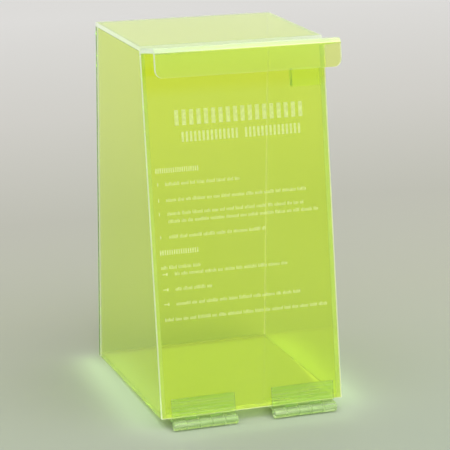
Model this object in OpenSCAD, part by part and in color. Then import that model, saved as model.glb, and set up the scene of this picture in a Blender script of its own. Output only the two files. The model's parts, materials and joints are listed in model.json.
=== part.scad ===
// Eyewash station: a clear fluorescent acrylic cabinet for an eyewash bottle.
// The front leans back and is closed by one bent sheet, the door, with a pull
// along its top. Two clear butt hinges hold the door at the bottom edge.
// +X is right, +Y is towards the wall, +Z is up. The origin is the middle of the
// lower edge of the cabinet's back face. All sizes are in millimetres and degrees.

/* [Cabinet] */
// Outside width of the cabinet and of the door
cabinet_w = 165; // [130:1:260]
// Outside height of the cabinet
cabinet_h = 311; // [240:1:400]
// Outside depth of the cabinet along its underside
cabinet_d = 178; // [145:1:240]
// Lean of the front from upright
lean = 10; // [4:0.5:14]
// Thickness of the acrylic sheet
sheet = 4; // [3:0.5:5]

/* [Door] */
// Gap between the closed door and the front edges behind it
door_gap = 0.3; // [0.2:0.1:1]
// Gap between the door's lower edge and the level of the underside
door_rise = 0.6; // [0.4:0.1:2]
// How far the door's top edge stays below the cabinet's front top edge
pull_drop = 2; // [1:0.5:6]
// Reach of the pull, from the back of the door to the face of its flap
pull_reach = 41; // [25:1:60]
// Height of the flap that hangs from the pull
flap_h = 24.5; // [16:0.5:45]
// Radius of the flap's lower corners
flap_corner = 6.5; // [2:0.5:10]
// Inside radius of the heated bends
bend_inner = 1.5; // [1:0.5:4]

/* [Hinges] */
// Length of one hinge
hinge_len = 57; // [35:1:58]
// Distance of each hinge's middle from the middle of the door
hinge_offset = 45.5; // [34:0.5:60]
// Thickness of a hinge leaf
leaf_t = 2; // [1.5:0.25:3]
// Height of the door leaf, measured from the underside along the door
door_leaf_h = 17; // [12:0.5:30]
// Depth of the base leaf under the cabinet
base_leaf_d = 15; // [10:0.5:30]
// Outside diameter of the knuckles
knuckle_d = 8; // [7:0.5:10]
// Diameter of the hinge pin
pin_d = 3; // [2:0.25:4]
// Clearance around the pin, on the radius
pin_clear = 0.05; // [0.02:0.01:0.1]
// Number of knuckles along a hinge, an odd number
knuckle_count = 5; // [3:2:7]
// Gap between neighbouring knuckles, and at the pin's ends
knuckle_gap = 0.4; // [0.3:0.1:0.8]
// Number of moulded grooves across each leaf
groove_count = 4; // [2:1:4]
// Width of a moulded groove
groove_w = 0.8; // [0.4:0.1:1]
// Depth of a moulded groove
groove_depth = 0.4; // [0.2:0.1:0.6]

/* [Stop block] */
// Width of the block behind the door's top right corner
stop_w = 26; // [12:1:40]
// Height of the block along the slope
stop_h = 15.5; // [8:0.5:30]
// Thickness of the block
stop_t = 6; // [3:0.5:12]
// Distance of the block's top below the cabinet's front top edge
stop_down = 27; // [12:1:60]

/* [Hidden] */

acrylic = [0.74, 0.86, 0.34, 0.6];
clear = [0.82, 0.92, 0.72, 0.6];
rod = [0.88, 0.93, 0.82, 0.8];

// Front of the cabinet at the level of its underside, where the back face is Y = 0
front_y = -cabinet_d;
// Length of the sloped front, from the underside to the top
slope_len = cabinet_h / cos(lean);
// How far the slope moves back for each millimetre of height
slope_run = tan(lean);

// The closed door lies on the slope, from door_in to door_out in front of it
door_in = door_gap;
door_out = door_gap + sheet;
door_top = slope_len - pull_drop;
bend_outer = bend_inner + sheet;
flap_bottom = door_top - flap_h;

// The pivot touches the door's face and the underside from outside
knuckle_r = knuckle_d / 2;
pivot_z = -knuckle_r;
pivot_y = front_y - (door_out + knuckle_r * (1 + sin(lean))) / cos(lean);
// The same pivot measured in the door's own axes
pivot_out = door_out + knuckle_r;
pivot_up = (pivot_y - front_y) * sin(lean) + pivot_z * cos(lean);

knuckle_len = (hinge_len - (knuckle_count - 1) * knuckle_gap) / knuckle_count;
knuckle_step = knuckle_len + knuckle_gap;
// The base leaf's plate starts here, clear of the door leaf's tongues
base_plate_y = front_y - door_out / 2;
base_plate_back = front_y + base_leaf_d;
// How far a cutting shape runs past what it cuts
cut = 1;

$fn = 64;

// Children drawn upright against the plane Y = 0 are laid on the sloped front,
// with -Y pointing out of the slope and +Z running up it.
module on_slope() {
    translate([0, front_y, 0]) rotate([-lean, 0, 0]) children();
}

// A sheet with the outline [y, z] points, from x to x + w
module profile_sheet(points, x, w) {
    translate([x, 0, 0]) rotate([90, 0, 90]) linear_extrude(w) polygon(points);
}

// Where the sloped front is at height z
function slope_y(z) = front_y + z * slope_run;

module side_panel(x) {
    top_z = cabinet_h - sheet;
    profile_sheet([
        [slope_y(0), 0], [-sheet, 0], [-sheet, top_z], [slope_y(top_z), top_z]
    ], x, sheet);
}

module back_panel() {
    color(acrylic) translate([-cabinet_w / 2, -sheet, 0])
        cube([cabinet_w, sheet, cabinet_h - sheet]);
}

module left_side_panel() {
    color(acrylic) side_panel(-cabinet_w / 2);
}

module right_side_panel() {
    color(acrylic) side_panel(cabinet_w / 2 - sheet);
}

module top_panel() {
    low_z = cabinet_h - sheet;
    color(acrylic) profile_sheet([
        [slope_y(low_z), low_z], [0, low_z], [0, cabinet_h], [slope_y(cabinet_h), cabinet_h]
    ], -cabinet_w / 2, cabinet_w);
}

module bottom_panel() {
    color(acrylic) profile_sheet([
        [slope_y(0), 0], [-sheet, 0], [-sheet, sheet], [slope_y(sheet), sheet]
    ], sheet - cabinet_w / 2, cabinet_w - 2 * sheet);
}

module stop_block() {
    color(acrylic) on_slope()
        translate([cabinet_w / 2 - sheet - stop_w, 0, slope_len - stop_down - stop_h])
            cube([stop_w, stop_t, stop_h]);
}

// A quarter of a bent sheet around the X axis, from -cabinet_w / 2 along the
// full width. It joins a sheet on -Z to a sheet on the side given by turn.
module bend(turn) {
    translate([-cabinet_w / 2, 0, 0]) rotate([turn, 0, 0]) rotate([90, 0, 90])
        intersection() {
            linear_extrude(cabinet_w) difference() {
                circle(bend_outer);
                circle(bend_inner);
            }
            cube([bend_outer + cut, bend_outer + cut, cabinet_w]);
        }
}

// The flap's outline: a plate with its two lower corners rounded
module flap() {
    straight_h = flap_h - bend_outer;
    translate([0, sheet, 0]) rotate([90, 0, 0]) linear_extrude(sheet) difference() {
        translate([-cabinet_w / 2, 0]) square([cabinet_w, straight_h]);
        for (side = [-1, 1]) scale([side, 1]) translate([cabinet_w / 2 - flap_corner, flap_corner])
            difference() {
                translate([0, -flap_corner - cut]) square([flap_corner + cut, flap_corner + cut]);
                circle(flap_corner);
            }
    }
}

module door_panel() {
    web_len = pull_reach - door_in - 2 * bend_outer;
    color(acrylic) on_slope() {
        // the door's face
        translate([-cabinet_w / 2, -door_out, door_rise])
            cube([cabinet_w, sheet, door_top - bend_outer - door_rise]);
        // the bend at the door's top, out to the pull
        translate([0, -door_in - bend_outer, door_top - bend_outer]) bend(0);
        // the pull's web
        translate([-cabinet_w / 2, -door_in - bend_outer - web_len, door_top - sheet])
            cube([cabinet_w, web_len, sheet]);
        // the bend down into the flap
        translate([0, -pull_reach + bend_outer, door_top - bend_outer]) bend(90);
        // the flap
        translate([0, -pull_reach, flap_bottom]) flap();
    }
}

// Shallow moulded grooves across a leaf of the given height, cut into its outer face at Y = 0
module grooves(h) {
    for (i = [1 : groove_count])
        translate([-hinge_len / 2 - cut, -cut, i * h / (groove_count + 1) - groove_w / 2])
            cube([hinge_len + 2 * cut, groove_depth + cut, groove_w]);
}

// Every second knuckle, starting with knuckle number first, around the X axis.
// Each has a tongue on its own +Z side that reaches up to tongue_h.
module knuckles(first, tongue_h) {
    for (i = [first : 2 : knuckle_count - 1])
        translate([i * knuckle_step - hinge_len / 2, 0, 0]) difference() {
            union() {
                rotate([0, 90, 0]) cylinder(h = knuckle_len, r = knuckle_r);
                translate([0, knuckle_r - leaf_t, 0]) cube([knuckle_len, leaf_t, tongue_h]);
            }
            translate([-cut, 0, 0]) rotate([0, 90, 0])
                cylinder(h = knuckle_len + 2 * cut, r = pin_d / 2 + pin_clear);
        }
}

// The door leaf, glued to the door's face and drawn about the pivot
module door_leaf(x) {
    plate_low = door_rise - pivot_up;
    color(clear) on_slope() translate([x, -pivot_out, pivot_up]) {
        knuckles(1, plate_low + cut);
        difference() {
            translate([-hinge_len / 2, knuckle_r - leaf_t, plate_low])
                cube([hinge_len, leaf_t, door_leaf_h - door_rise]);
            translate([0, knuckle_r - leaf_t, plate_low]) grooves(door_leaf_h - door_rise);
        }
    }
}

// The base leaf, glued under the bottom panel and drawn about the pivot.
// It is the same shape as a leaf on +Z, turned back under the cabinet.
module base_leaf(x) {
    plate_low = base_plate_y - pivot_y;
    plate_h = base_plate_back - base_plate_y;
    color(clear) translate([x, pivot_y, pivot_z]) mirror([0, 1, 0]) rotate([90, 0, 0]) {
        knuckles(0, plate_low + cut);
        difference() {
            translate([-hinge_len / 2, knuckle_r - leaf_t, plate_low]) cube([hinge_len, leaf_t, plate_h]);
            translate([0, knuckle_r - leaf_t, plate_low]) grooves(plate_h);
        }
    }
}

module hinge_pin(x) {
    pin_len = hinge_len - 2 * knuckle_gap;
    color(rod) translate([x - pin_len / 2, pivot_y, pivot_z]) rotate([0, 90, 0])
        cylinder(h = pin_len, d = pin_d);
}

module left_hinge_base_leaf() {
    base_leaf(-hinge_offset);
}

module right_hinge_base_leaf() {
    base_leaf(hinge_offset);
}

module left_hinge_pin() {
    hinge_pin(-hinge_offset);
}

module right_hinge_pin() {
    hinge_pin(hinge_offset);
}

module left_hinge_door_leaf() {
    door_leaf(-hinge_offset);
}

module right_hinge_door_leaf() {
    door_leaf(hinge_offset);
}

back_panel();
left_side_panel();
right_side_panel();
top_panel();
bottom_panel();
stop_block();
left_hinge_base_leaf();
right_hinge_base_leaf();
left_hinge_pin();
right_hinge_pin();
door_panel();
left_hinge_door_leaf();
right_hinge_door_leaf();
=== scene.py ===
"""The looks of an eyewash station: clear fluorescent acrylic with glowing edges, clear moulded
hinges and a printed legend made of plain bars. Lengths are metres unless they are said to be mm."""
import json
import math
import random

import bmesh
import bpy
from mathutils import Matrix, Vector


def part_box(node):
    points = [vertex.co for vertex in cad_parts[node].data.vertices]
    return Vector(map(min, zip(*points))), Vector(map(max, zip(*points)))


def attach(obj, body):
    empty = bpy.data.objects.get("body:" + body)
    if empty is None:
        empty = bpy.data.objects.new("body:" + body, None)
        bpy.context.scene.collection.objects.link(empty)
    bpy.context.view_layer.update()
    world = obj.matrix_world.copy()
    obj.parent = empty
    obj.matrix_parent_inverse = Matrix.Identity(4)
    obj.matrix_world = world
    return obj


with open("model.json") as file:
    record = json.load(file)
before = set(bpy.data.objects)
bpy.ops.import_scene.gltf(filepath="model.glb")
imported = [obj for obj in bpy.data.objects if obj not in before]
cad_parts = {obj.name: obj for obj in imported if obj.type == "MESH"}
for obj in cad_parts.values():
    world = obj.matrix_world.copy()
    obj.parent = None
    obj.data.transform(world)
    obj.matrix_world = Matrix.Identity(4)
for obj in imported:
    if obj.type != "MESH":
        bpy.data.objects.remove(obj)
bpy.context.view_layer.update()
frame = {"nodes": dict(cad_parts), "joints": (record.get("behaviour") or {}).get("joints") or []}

MM = 0.001
NODES = frame["nodes"]
# The door's hinge line, and the radius of the knuckles around it
PIVOT = Vector(frame["joints"][0]["pos_m"])
KNUCKLE_R = PIVOT.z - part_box("left_hinge_door_leaf")[0].z

SHEET_NODES = ("back_panel", "left_side_panel", "right_side_panel", "top_panel", "bottom_panel",
               "stop_block", "door_panel")
LEAF_NODES = ("left_hinge_base_leaf", "right_hinge_base_leaf", "left_hinge_door_leaf",
              "right_hinge_door_leaf")
PIN_NODES = ("left_hinge_pin", "right_hinge_pin")

# A face points a way when its normal's share along that way is above one of these
ROUGHLY, CLOSELY, EXACTLY = 0.5, 0.9, 0.995

# ---------------------------------------------------------------- the door's own axes
RIGHT = Vector((1, 0, 0))
door_mesh = NODES["door_panel"].data
front_faces = [f for f in door_mesh.polygons if f.normal.y < -ROUGHLY]
door_face = max(front_faces, key=lambda f: f.area)
DOOR_OUT = door_face.normal.copy()
DOOR_UP = RIGHT.cross(-DOOR_OUT)
# The foot of the cabinet's sloped front, and how far before that slope the door's face lies
SLOPE_FOOT = Vector((0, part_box("bottom_panel")[0].y, 0))
DOOR_LIFT = (door_face.center - SLOPE_FOOT).dot(DOOR_OUT)

# The pull's bends and web take up so much of the door's top, and its flap stands clear of the door
BEND_HEIGHT = 0.0056
CLEAR_OF_DOOR = 0.005


def on_door(x_mm, up_mm, lift):
    """A point x_mm from the door's middle, up_mm up the slope, and lift off its outer face."""
    return SLOPE_FOOT + RIGHT * (x_mm * MM) + DOOR_UP * (up_mm * MM) + DOOR_OUT * (DOOR_LIFT + lift)


def up_door(point):
    """How far up the cabinet's slope a point lies."""
    return (point - SLOPE_FOOT).dot(DOOR_UP)


def before_door(point):
    """Whether a point stands clear of the door's outer face, as the pull's flap does."""
    return (point - SLOPE_FOOT).dot(DOOR_OUT) > DOOR_LIFT + CLEAR_OF_DOOR


BEND_START = max(up_door(v.co) for v in door_mesh.vertices) - BEND_HEIGHT
FLAP_FOOT = min(v.co.z for v in door_mesh.vertices if before_door(v.co))


# ---------------------------------------------------------------- node helpers
def new_material(name):
    """A material with an empty tree but for its Principled shader and output."""
    material = bpy.data.materials.new(name)
    material.use_nodes = True
    return material, material.node_tree, material.node_tree.nodes["Principled BSDF"]


def clear_material(name, clear_share, ior):
    """A material that lets so much of the light through."""
    material, tree, shader = new_material(name)
    shader.inputs["Transmission Weight"].default_value = clear_share
    shader.inputs["IOR"].default_value = ior
    return material, tree, shader


def set_glow(shader, colour, strength):
    shader.inputs["Emission Color"].default_value = (*colour, 1)
    shader.inputs["Emission Strength"].default_value = strength


def noise(tree, scale, detail=2.0, stretch=None):
    """A noise over the object's own coordinates, in metres, stretched if asked."""
    place = tree.nodes.new("ShaderNodeTexCoord")
    texture = tree.nodes.new("ShaderNodeTexNoise")
    texture.inputs["Scale"].default_value = scale
    texture.inputs["Detail"].default_value = detail
    source = place.outputs["Object"]
    if stretch:
        mapping = tree.nodes.new("ShaderNodeMapping")
        mapping.inputs["Scale"].default_value = stretch
        tree.links.new(source, mapping.inputs["Vector"])
        source = mapping.outputs["Vector"]
    tree.links.new(source, texture.inputs["Vector"])
    return texture.outputs["Fac"]


def along(tree, coordinates, axis, start=0.0, end=1.0):
    """How far a place is from start to end along one axis of some coordinates, from 0 to 1."""
    place = tree.nodes.new("ShaderNodeTexCoord")
    split = tree.nodes.new("ShaderNodeSeparateXYZ")
    reach = tree.nodes.new("ShaderNodeMapRange")
    reach.inputs["From Min"].default_value = start
    reach.inputs["From Max"].default_value = end
    tree.links.new(place.outputs[coordinates], split.inputs["Vector"])
    tree.links.new(split.outputs[axis], reach.inputs["Value"])
    return reach.outputs["Result"]


def ramp(tree, source, stops):
    """A colour ramp over source. Each stop is (position, colour)."""
    node = tree.nodes.new("ShaderNodeValToRGB")
    for stop in range(len(stops) - 2):
        node.color_ramp.elements.new(0.5)
    for element, (position, colour) in zip(node.color_ramp.elements, stops):
        element.position = position
        element.color = (*colour, 1)
    tree.links.new(source, node.inputs["Fac"])
    return node.outputs["Color"]


def tinted(tree, source, tints, reach=0.2):
    """A colour between two tints, as source runs by reach to each side of its middle."""
    return ramp(tree, source, [(0.5 - reach, tints[0]), (0.5 + reach, tints[1])])


def spread(tree, source, low, high):
    """source, which runs from 0 to 1, as a number from low to high."""
    node = tree.nodes.new("ShaderNodeMapRange")
    node.inputs["To Min"].default_value = low
    node.inputs["To Max"].default_value = high
    tree.links.new(source, node.inputs["Value"])
    return node.outputs["Result"]


def inner_side(tree):
    """0 where a face is seen from outside its solid, and 1 where it is seen from inside."""
    return tree.nodes.new("ShaderNodeNewGeometry").outputs["Backfacing"]


def roughen(tree, shader, source, smoothest, roughest):
    """A roughness that varies as source does."""
    tree.links.new(spread(tree, source, smoothest, roughest), shader.inputs["Roughness"])


def bump(tree, shader, source, distance, strength):
    """Relief as high as distance, shown by so much."""
    node = tree.nodes.new("ShaderNodeBump")
    node.inputs["Distance"].default_value = distance
    node.inputs["Strength"].default_value = strength
    tree.links.new(source, node.inputs["Height"])
    tree.links.new(node.outputs["Normal"], shader.inputs["Normal"])


# ---------------------------------------------------------------- acrylic
ACRYLIC_IOR = 1.49
# The share of light that goes through a clear face, the heated bend and a sanded edge
FACE_CLEAR, BEND_CLEAR, EDGE_CLEAR = 0.97, 0.7, 0.4
HAZE, HAZE_ROUGHNESS = 0.62, 0.4
FACE_TINTS = (0.94, 0.985, 0.25), (0.96, 0.995, 0.30)
EDGE_TINTS = (0.88, 0.97, 0.60), (0.94, 1.0, 0.68)
# Each glow is a colour and a strength
PANEL_GLOW = (0.22, 1.0, 0.0), 0.031
BASE_GLOW = (0.65, 1.0, 0.0), 0.035
# The flap's bluer glow is the sheet's own glow with a painted reflection of the pale surroundings on
# its face
FLAP_GLOW_AND_REFLECTION = (0.0, 0.62, 0.62), 0.03
# The web's stronger, paler glow is partly the sheet's own glow and partly a painted highlight where the
# pull's top faces the light from above
WEB_GLOW_AND_HIGHLIGHT = (0.75, 1.0, 0.5), 0.12
# A bend's or an edge's glow differs between the face's outer side and its inner side. On the pull's
# bends the glow is partly a painted highlight where they catch the light from above.
BEND_GLOW_AND_HIGHLIGHT, BEND_OUTSIDE, BEND_INSIDE = (0.88, 1.0, 0.52), 0.22, 0.1
EDGE_GLOW_OUTSIDE, EDGE_GLOW_INSIDE = (0.85, 1.0, 0.55), (0.4, 0.3, 1.0)
# The glow's strength on each side of an open edge, and of an inner edge, which the door covers
OPEN_EDGE_STRENGTHS = 0.2, 0.7
INNER_EDGE_STRENGTHS = 0.08, 0.02
# The shade that the pull leaves on the door, from below its flap's foot to above it
SHADE_TINT = (0.935, 0.955, 0.12)
SHADE_BELOW, SHADE_ABOVE = 0.024, 0.006
BLACK, WHITE = (0, 0, 0), (1, 1, 1)
SHADE_BAND = [(0.0, BLACK), (0.35, WHITE), (0.75, WHITE), (1.0, BLACK)]


def deepened(tree, colour):
    """colour, made deeper in a soft band across the door where its pull keeps the light off."""
    height = along(tree, "Object", "Z", FLAP_FOOT - SHADE_BELOW, FLAP_FOOT + SHADE_ABOVE)
    band = ramp(tree, height, SHADE_BAND)
    mix = tree.nodes.new("ShaderNodeMixRGB")
    mix.inputs["Color2"].default_value = (*SHADE_TINT, 1)
    tree.links.new(band, mix.inputs["Fac"])
    tree.links.new(colour, mix.inputs["Color1"])
    return mix.outputs["Color"]


def acrylic_face(name, glow, shaded=False):
    """The clear faces of a sheet: tinted, with a thin surface haze and a faint glow of their own, which
    on the pull's flap and web also carries a painted reflection and a painted highlight.
    """
    material, tree, shader = clear_material(name, FACE_CLEAR, ACRYLIC_IOR)
    shader.inputs["Coat Weight"].default_value = HAZE
    shader.inputs["Coat Roughness"].default_value = HAZE_ROUGHNESS
    set_glow(shader, *glow)
    cloud = noise(tree, scale=9.0)
    smudge = noise(tree, scale=38.0, detail=5.0, stretch=(1, 1, 0.4))
    wave = noise(tree, scale=14.0)
    tint = tinted(tree, cloud, FACE_TINTS)
    tree.links.new(deepened(tree, tint) if shaded else tint, shader.inputs["Base Color"])
    roughen(tree, shader, smudge, smoothest=0.0, roughest=0.03)
    bump(tree, shader, wave, distance=0.0002, strength=0.06)
    return material


def acrylic_bend():
    """The pull's rounded top and ends, and the base's front edge: hazier than the flat sheet, with a
    glow that on the pull's bends is partly a painted highlight.
    """
    material, tree, shader = clear_material("acrylic_bend", BEND_CLEAR, ACRYLIC_IOR)
    shader.inputs["Emission Color"].default_value = (*BEND_GLOW_AND_HIGHLIGHT, 1)
    strength = spread(tree, inner_side(tree), BEND_OUTSIDE, BEND_INSIDE)
    tree.links.new(strength, shader.inputs["Emission Strength"])
    streak = noise(tree, scale=60.0, detail=3.0, stretch=(0.15, 1, 1))
    tree.links.new(tinted(tree, streak, EDGE_TINTS), shader.inputs["Base Color"])
    roughen(tree, shader, streak, smoothest=0.05, roughest=0.2)
    bump(tree, shader, streak, distance=0.0003, strength=0.2)
    return material


def acrylic_edge(name, strengths):
    """A sheet's cut edges: sanded, pale, and with a glow for their outer and their inner side."""
    material, tree, shader = clear_material(name, EDGE_CLEAR, ACRYLIC_IOR)
    side = inner_side(tree)
    colour = ramp(tree, side, [(0.0, EDGE_GLOW_OUTSIDE), (1.0, EDGE_GLOW_INSIDE)])
    tree.links.new(colour, shader.inputs["Emission Color"])
    tree.links.new(spread(tree, side, *strengths), shader.inputs["Emission Strength"])
    saw = noise(tree, scale=700.0, detail=3.0, stretch=(1, 1, 0.12))
    tree.links.new(tinted(tree, saw, EDGE_TINTS, reach=0.15), shader.inputs["Base Color"])
    roughen(tree, shader, saw, smoothest=0.12, roughest=0.3)
    bump(tree, shader, saw, distance=0.0001, strength=0.3)
    return material


# ---------------------------------------------------------------- hinges and ink
HINGE_IOR = 1.35
HINGE_GLOW = (0.6, 1.0, 0.3)
HINGE_TINTS = (0.68, 0.88, 0.42), (0.93, 0.97, 0.76)
# The share of light that goes through, and the glow's strength
PLAIN_PLASTIC = 0.94, 0.018
MILKY_PLASTIC = 0.8, 0.05
PIN_IOR, PIN_CLEAR = 1.5, 0.5
PIN_TINTS = (0.86, 0.93, 0.82), (0.95, 0.99, 0.92)
INK_TINTS = (0.78, 0.88, 0.38), (0.87, 0.95, 0.50)
INK_GLOW = (0.9, 1.0, 0.35), 0.17
INK_THINNEST, INK_THICKEST = 0.3, 0.75


def hinge_plastic(name, clear_share, glow_strength):
    """The hinges' clear moulded plastic, with fine lines along it and green from the light around."""
    material, tree, shader = clear_material(name, clear_share, HINGE_IOR)
    set_glow(shader, HINGE_GLOW, glow_strength)
    flow = noise(tree, scale=620.0, stretch=(0.04, 1, 1))
    tree.links.new(tinted(tree, flow, HINGE_TINTS), shader.inputs["Base Color"])
    roughen(tree, shader, flow, smoothest=0.12, roughest=0.35)
    bump(tree, shader, flow, distance=0.0003, strength=0.35)
    return material


def pin_plastic():
    """The hinge pins: a paler, milky rod."""
    material, tree, shader = clear_material("pin_plastic", PIN_CLEAR, PIN_IOR)
    drawn = noise(tree, scale=420.0, detail=3.0, stretch=(0.05, 1, 1))
    tree.links.new(tinted(tree, drawn, PIN_TINTS), shader.inputs["Base Color"])
    roughen(tree, shader, drawn, smoothest=0.15, roughest=0.35)
    return material


def print_ink():
    """The legend's pale screen-printed ink, a little thin in places."""
    material, tree, shader = new_material("print_ink")
    set_glow(shader, *INK_GLOW)
    grain = noise(tree, scale=900.0, detail=4.0)
    cover = noise(tree, scale=300.0, detail=3.0)
    tree.links.new(tinted(tree, grain, INK_TINTS, reach=0.15), shader.inputs["Base Color"])
    roughen(tree, shader, grain, smoothest=0.35, roughest=0.6)
    tree.links.new(spread(tree, cover, INK_THINNEST, INK_THICKEST), shader.inputs["Alpha"])
    return material


# ---------------------------------------------------------------- the CAD nodes
SHRINK = 0.00003
BEVEL = 0.00025
BEVEL_FROM = math.radians(50)
BEVEL_SEGMENTS = 2
WELD_REACH = 1e-6
CLEAR_SLOT, EDGE_SLOT, INNER_SLOT, BEND_SLOT, FLAP_SLOT, WEB_SLOT = range(6)
# A moulded groove's floor and walls lie this deep below a leaf's outer face
GROOVE_FROM, GROOVE_TO = 0.0001, 0.0006
KNUCKLE_REACH = 1.1 * KNUCKLE_R


def faces_sideways(face):
    return abs(face.normal.x) > ROUGHLY


def door_slot(face):
    """Which of the sheet materials a face of the door has, the pull's web and flap among them."""
    if up_door(face.center) > BEND_START:
        if face.normal.dot(DOOR_UP) > EXACTLY:
            return WEB_SLOT
        rounded_top = before_door(face.center) and face.normal.z > ROUGHLY
        return BEND_SLOT if rounded_top or faces_sideways(face) else FLAP_SLOT
    if faces_sideways(face) or abs(face.normal.dot(DOOR_OUT)) < ROUGHLY:
        return EDGE_SLOT
    return FLAP_SLOT if before_door(face.center) else CLEAR_SLOT


def box_slot(name, face):
    """The same for the box. Most of its glued edges are as clear as the broad faces."""
    forward = face.normal.dot(DOOR_OUT) > CLOSELY
    if name == "bottom_panel":
        return BEND_SLOT if forward else CLEAR_SLOT
    if name in ("top_panel", "left_side_panel", "right_side_panel"):
        if forward:
            return INNER_SLOT
        if face.normal.y > CLOSELY or (name == "top_panel" and faces_sideways(face)):
            return EDGE_SLOT
    return CLEAR_SLOT


def soften(piece):
    """Joins the mesh's split corners, takes a hair off all round, and breaks the sharp edges."""
    weld = piece.modifiers.new("weld", "WELD")
    weld.merge_threshold = WELD_REACH
    inset = piece.modifiers.new("inset", "DISPLACE")
    inset.mid_level = 0.0
    inset.strength = -SHRINK
    edge = piece.modifiers.new("edge", "BEVEL")
    edge.width = BEVEL
    edge.segments = BEVEL_SEGMENTS
    edge.limit_method = "ANGLE"
    edge.angle_limit = BEVEL_FROM
    edge.harden_normals = True


def dress(name, materials):
    """Gives a CAD node these materials in place of its own."""
    NODES[name].data.materials.clear()
    for material in materials:
        NODES[name].data.materials.append(material)


def dress_sheets():
    panel = acrylic_face("acrylic_face", PANEL_GLOW)
    clear = {"bottom_panel": acrylic_face("acrylic_base", BASE_GLOW),
             "door_panel": acrylic_face("acrylic_door", PANEL_GLOW, shaded=True)}
    others = [acrylic_edge("acrylic_edge", OPEN_EDGE_STRENGTHS),
              acrylic_edge("acrylic_inner_edge", INNER_EDGE_STRENGTHS),
              acrylic_bend(),
              acrylic_face("acrylic_flap", FLAP_GLOW_AND_REFLECTION),
              acrylic_face("acrylic_web", WEB_GLOW_AND_HIGHLIGHT)]
    for name in SHEET_NODES:
        dress(name, [clear.get(name, panel)] + others)
        for face in NODES[name].data.polygons:
            face.material_index = door_slot(face) if name == "door_panel" else box_slot(name, face)
        soften(NODES[name])


def dress_leaves():
    """The knuckles and the moulded grooves, a little below the outer face, are the milkier parts."""
    plastics = [hinge_plastic("hinge_plastic", *PLAIN_PLASTIC),
                hinge_plastic("hinge_milky", *MILKY_PLASTIC)]
    for name in LEAF_NODES:
        dress(name, plastics)
        faces = NODES[name].data.polygons
        out = DOOR_OUT if name.endswith("door_leaf") else Vector((0, 0, -1))
        outer_face = max((f for f in faces if f.normal.dot(out) > EXACTLY), key=lambda f: f.area)
        level = outer_face.center.dot(out)
        for face in faces:
            sunk = level - face.center.dot(out)
            on_knuckle = (face.center - PIVOT).yz.length < KNUCKLE_REACH
            face.material_index = int(on_knuckle or GROOVE_FROM < sunk < GROOVE_TO)


def dress_pins():
    plastic = pin_plastic()
    for name in PIN_NODES:
        dress(name, [plastic])


# ---------------------------------------------------------------- the printed legend
INK_LIFT = 0.00004
INK_THICK = 0.00004
# Measures on the door are millimetres: x from its middle, then the height up the slope.
# Each heading: left and right end, middle height, bars' height, and the bars in each group
HEADINGS = [(-56.5, 62, 254.3, 13.0, (18,)), (-51, 58, 238.0, 8.6, (14, 14)),
            (-76, -37, 211.0, 4.2, (20,)), (-76, -41, 142.0, 4.2, (17,))]
# Each line: left and right end, and middle height
LINES = [(-68, -0.5, 199.5), (-68, 61, 186), (-67.5, 56, 174.5), (-67, 69.5, 168), (-67, 20, 155),
         (-75.6, -40, 129.3), (-64, 38, 123.5), (-64, -31, 110.5), (-64, 49, 98), (-75, 73.5, 85)]
NUMBERED = [(-75, 199.5), (-75, 186), (-75, 174.5), (-75, 155)]
ARROWS = [(-72, 123.5), (-72, 110.5), (-72, 98)]
# A heading's bar is this share of its pitch, and a space in it this share of its height
HEADING_BAR, HEADING_SPACE = 0.55, 0.55
MARK_HEIGHT_MM, MARK_STROKE_MM = 3.1, 0.62
MARK_PITCH_MM = MARK_STROKE_MM * 1.9
# A mark's own height is one of these shares of MARK_HEIGHT_MM
MARK_HEIGHTS = (0.72, 0.72, 1.0)
SHORTEST_WORD, LONGEST_WORD = 4, 11
LEGEND_SEED = 11
NUMERAL_WIDTH_MM, NUMERAL_HALF_MM = 0.8, 1.4
# An arrow's shaft and its head: left end, right end and half height, in mm
ARROW_BARS = (-3, 1.5, 0.4), (0.4, 1.6, 1.2)


def bar(mesh, x0, x1, y0, y1):
    """A thin raised bar of ink on the door, from (x0, y0) to (x1, y1) in its own axes, in mm."""
    low = [on_door(x, y, INK_LIFT) for x, y in ((x0, y0), (x1, y0), (x1, y1), (x0, y1))]
    high = [p + DOOR_OUT * INK_THICK for p in low]
    corners = [mesh.verts.new(p) for p in low + high]
    mesh.faces.new(corners[4:])
    mesh.faces.new(corners[3::-1])
    for i in range(4):
        j = (i + 1) % 4
        mesh.faces.new((corners[i], corners[j], corners[j + 4], corners[i + 4]))


def words(mesh, dice, x0, x1, middle):
    """Fills a line with upright bars in word-like groups. They are plain marks and spell nothing."""
    x = x0
    foot = middle - MARK_HEIGHT_MM / 2
    while x < x1 - MARK_STROKE_MM:
        for mark in range(dice.randint(SHORTEST_WORD, LONGEST_WORD)):
            if x > x1 - MARK_STROKE_MM:
                break
            tall = MARK_HEIGHT_MM * dice.choice(MARK_HEIGHTS)
            bar(mesh, x, x + MARK_STROKE_MM, foot, foot + tall)
            x += MARK_PITCH_MM
        x += MARK_PITCH_MM


def heading(mesh, x0, x1, middle, height, groups):
    """A row of thick upright bars between x0 and x1, in groups with a space between them."""
    space = height * HEADING_SPACE
    pitch = (x1 - x0 - space * (len(groups) - 1)) / sum(groups)
    x = x0
    for group in groups:
        for mark in range(group):
            bar(mesh, x, x + pitch * HEADING_BAR, middle - height / 2, middle + height / 2)
            x += pitch
        x += space


def numeral(mesh, x, y):
    """A plain upright bar that stands for a number."""
    bar(mesh, x, x + NUMERAL_WIDTH_MM, y - NUMERAL_HALF_MM, y + NUMERAL_HALF_MM)


def arrow(mesh, x, y):
    """A plain arrow: a shaft and a block for its head."""
    for left, right, half in ARROW_BARS:
        bar(mesh, x + left, x + right, y - half, y + half)


def new_piece(name, mesh, material):
    """A new object of a finished bmesh, with its material."""
    data = bpy.data.meshes.new(name)
    mesh.to_mesh(data)
    mesh.free()
    data.materials.append(material)
    piece = bpy.data.objects.new(name, data)
    bpy.context.scene.collection.objects.link(piece)
    return piece


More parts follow.
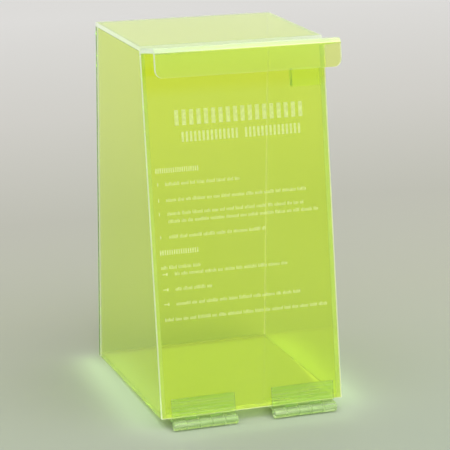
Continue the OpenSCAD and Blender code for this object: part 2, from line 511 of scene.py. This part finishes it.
def legend():
    """The door's print: bars in place of headings, lines, numbers and arrows, as one piece."""
    mesh = bmesh.new()
    dice = random.Random(LEGEND_SEED)
    for row in HEADINGS:
        heading(mesh, *row)
    for row in LINES:
        words(mesh, dice, *row)
    for place in NUMBERED:
        numeral(mesh, *place)
    for place in ARROWS:
        arrow(mesh, *place)
    piece = new_piece("door_legend", mesh, print_ink())
    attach(piece, "door")


# ---------------------------------------------------------------- the floor
FLOOR_SIZE = 24.0
# The floor lies a hair under the feet, and its colour runs from near the front to far behind: painted
# light, darker and greener towards the front and lighter far behind.
FLOOR_DROP = 0.0001
FLOOR_NEAR, FLOOR_FAR = -0.3, 1.4
FLOOR_LIGHT_STOPS = [(0.0, (0.425, 0.48, 0.39)), (0.235, (0.462, 0.482, 0.40)), (0.41, (0.468, 0.472, 0.422)),
               (0.65, (0.578, 0.572, 0.545)), (1.0, (0.69, 0.686, 0.68))]
FLOOR_ROUGHNESS, FLOOR_SPECULAR = 0.9, 0.1


def floor_paper():
    material, tree, shader = new_material("floor_paper")
    away = along(tree, "Object", "Y", FLOOR_NEAR, FLOOR_FAR)
    # Painted light: the ramp makes the floor darker and greener towards the front and lighter far
    # behind
    tree.links.new(ramp(tree, away, FLOOR_LIGHT_STOPS), shader.inputs["Base Color"])
    shader.inputs["Roughness"].default_value = FLOOR_ROUGHNESS
    shader.inputs["Specular IOR Level"].default_value = FLOOR_SPECULAR
    return material


def floor():
    """The pale floor that the station stands on: under its rear foot and its hinge knuckles."""
    reach = math.hypot(PIVOT.y, PIVOT.z)
    tilt = math.asin(-PIVOT.z / reach) + math.asin(KNUCKLE_R / reach)
    mesh = bmesh.new()
    bmesh.ops.create_grid(mesh, x_segments=1, y_segments=1, size=FLOOR_SIZE / 2)
    piece = new_piece("floor", mesh, floor_paper())
    piece.matrix_world = Matrix.Translation((0, 0, -FLOOR_DROP)) @ Matrix.Rotation(tilt, 4, "X")


# ---------------------------------------------------------------- light
LIGHT_BOUNCES = 32
HORIZON, ZENITH = (0.72, 0.72, 0.71), (1.0, 0.99, 0.97)
SKY_STRENGTH = 1.06
KEY_PLACE, KEY_SIZE, KEY_POWER, KEY_COLOUR = (0.6, -0.8, 2.4), 1.8, 14, (1.0, 0.99, 0.96)
# The strips of tinted light beside the cabinet's foot, and the sheet of it underneath
FLOOR_GLOW = (0.72, 1.0, 0.6)
GLOW_OFFSET, GLOW_WIDTH, GLOW_HEIGHT, GLOW_UNDER = 0.010, 0.012, 0.02, 0.0005
LEFT_POWER, RIGHT_POWER, FRONT_POWER, UNDER_POWER = 0.020, 0.022, 0.006, 0.042


def area_light(name, place, size, power, colour):
    """A rectangular light that shines down, size[0] wide and size[1] deep."""
    light = bpy.data.lights.new(name, "AREA")
    light.shape = "RECTANGLE"
    light.size, light.size_y = size
    light.energy = power
    light.color = colour
    lamp = bpy.data.objects.new(name, light)
    lamp.location = place
    bpy.context.scene.collection.objects.link(lamp)
    return lamp


def key_light():
    lamp = area_light("key", KEY_PLACE, (KEY_SIZE, KEY_SIZE), KEY_POWER, KEY_COLOUR)
    low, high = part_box("back_panel")
    aim = (low + high) / 2 - lamp.location
    lamp.rotation_euler = aim.to_track_quat("-Z", "Y").to_euler()


def glow_on_floor():
    """The tinted light that the sheets' lower edges throw on the floor beside and under them."""
    low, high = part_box("left_side_panel")[0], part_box("right_side_panel")[1]
    depth, width = high.y - low.y, high.x - low.x
    middle_y = (low.y + high.y) / 2
    left = (low.x - GLOW_OFFSET, middle_y, GLOW_HEIGHT)
    right = (high.x + GLOW_OFFSET, middle_y, GLOW_HEIGHT)
    front = (0, low.y - 2 * GLOW_OFFSET, GLOW_OFFSET)
    under = (0, middle_y, -GLOW_UNDER)
    for name, place, size, power in (("left_glow", left, (GLOW_WIDTH, depth), LEFT_POWER),
                                     ("right_glow", right, (GLOW_WIDTH, depth), RIGHT_POWER),
                                     ("front_glow", front, (width, GLOW_WIDTH), FRONT_POWER),
                                     ("under_glow", under, (width, depth), UNDER_POWER)):
        lamp = area_light(name, place, size, power, FLOOR_GLOW)
        lamp.visible_camera = lamp.visible_glossy = lamp.visible_transmission = False


def sky():
    world = bpy.data.worlds.new("studio")
    bpy.context.scene.world = world
    world.use_nodes = True
    tree = world.node_tree
    background = tree.nodes["Background"]
    colour = ramp(tree, along(tree, "Generated", "Z"), [(0.0, HORIZON), (1.0, ZENITH)])
    tree.links.new(colour, background.inputs["Color"])
    background.inputs["Strength"].default_value = SKY_STRENGTH


def studio():
    sky()
    key_light()
    glow_on_floor()
    scene = bpy.context.scene
    scene.view_settings.view_transform = "Standard"
    scene.cycles.max_bounces = LIGHT_BOUNCES
    scene.cycles.transmission_bounces = LIGHT_BOUNCES
    scene.cycles.glossy_bounces = LIGHT_BOUNCES


# ---------------------------------------------------------------- the camera
# It stands round the cabinet's foot by these angles in degrees, and its aim is moved off the foot
CAMERA_AZIMUTH, CAMERA_ELEVATION, CAMERA_ROLL = -20.427, 15.472, 0.309
CAMERA_DISTANCE, CAMERA_LENS_MM, CAMERA_SENSOR_MM = 1.9912, 170.22, 36.0
AIM_RIGHT, AIM_UP = 0.03878, 0.1128


def camera():
    """A camera that looks at the cabinet as the photograph does."""
    azimuth, elevation, roll = map(math.radians, (CAMERA_AZIMUTH, CAMERA_ELEVATION, CAMERA_ROLL))
    back = Vector((math.sin(azimuth) * math.cos(elevation), -math.cos(azimuth) * math.cos(elevation),
                   math.sin(elevation)))
    level = (-back).cross(Vector((0, 0, 1))).normalized()
    upright = level.cross(-back)
    right = level * math.cos(roll) + upright * math.sin(roll)
    up = upright * math.cos(roll) - level * math.sin(roll)
    turn = Matrix((right, up, back)).transposed().to_4x4()
    data = bpy.data.cameras.new("camera")
    data.sensor_width = CAMERA_SENSOR_MM
    data.lens = CAMERA_LENS_MM
    piece = bpy.data.objects.new("camera", data)
    bpy.context.scene.collection.objects.link(piece)
    place = back * CAMERA_DISTANCE + right * AIM_RIGHT + up * AIM_UP
    piece.matrix_world = Matrix.Translation(place) @ turn
    bpy.context.scene.camera = piece


camera()
dress_sheets()
dress_leaves()
dress_pins()
legend()
floor()
studio()
